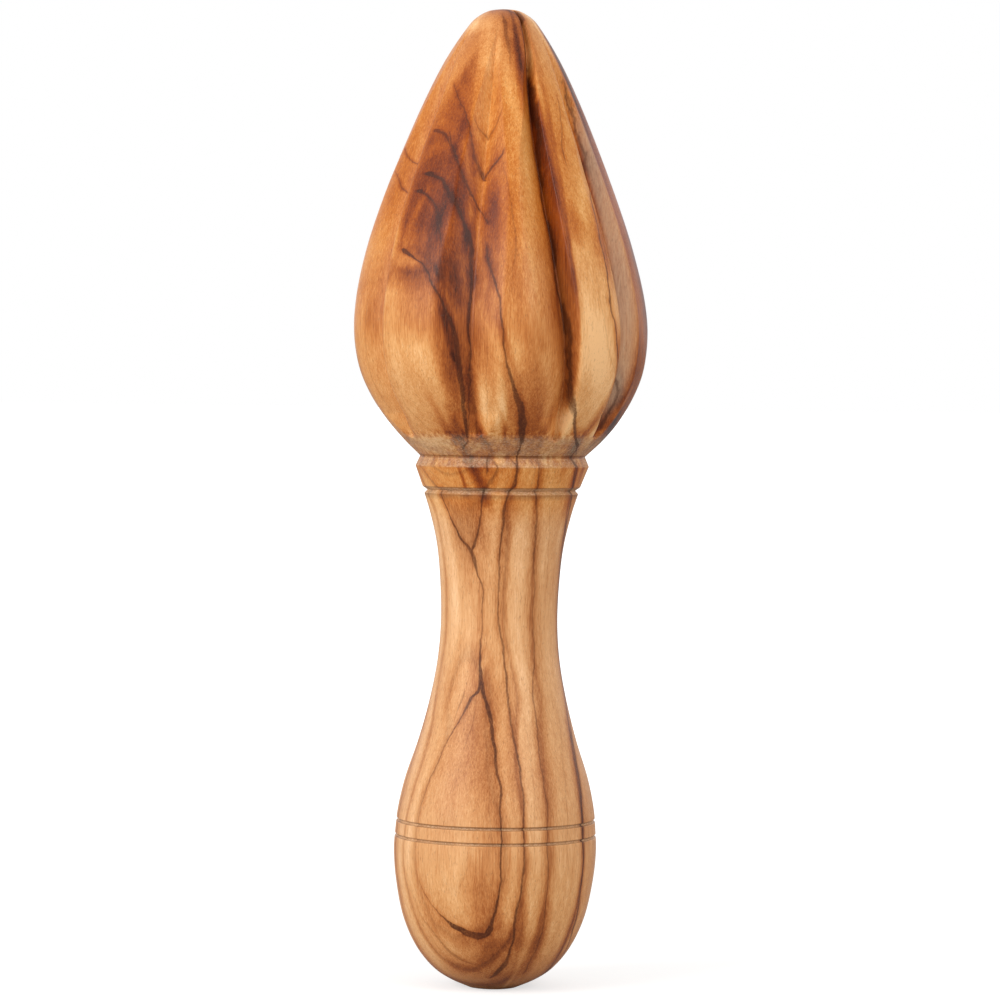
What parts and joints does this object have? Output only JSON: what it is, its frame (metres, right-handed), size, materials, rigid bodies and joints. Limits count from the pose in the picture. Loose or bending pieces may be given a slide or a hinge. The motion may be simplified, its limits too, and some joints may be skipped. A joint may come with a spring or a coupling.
{
  "type": "citrus reamer",
  "caption": "Hand-turned wooden citrus reamer in one piece: a bulbous grip, a bevelled collar and a pointed head with carved flutes for pressing juice from halved fruit.",
  "frame": {"origin": "centre of the small flat turned on the butt of the handle", "axes": "+Z along the turning axis from the butt to the tip of the head, -Y towards the side that the picture shows"},
  "size_m": [0.048, 0.048, 0.16],
  "materials": {
    "olive_wood": "oiled satin"
  },
  "bodies": {
    "root": {"reamer": "olive_wood"}
  },
  "joints": []
}
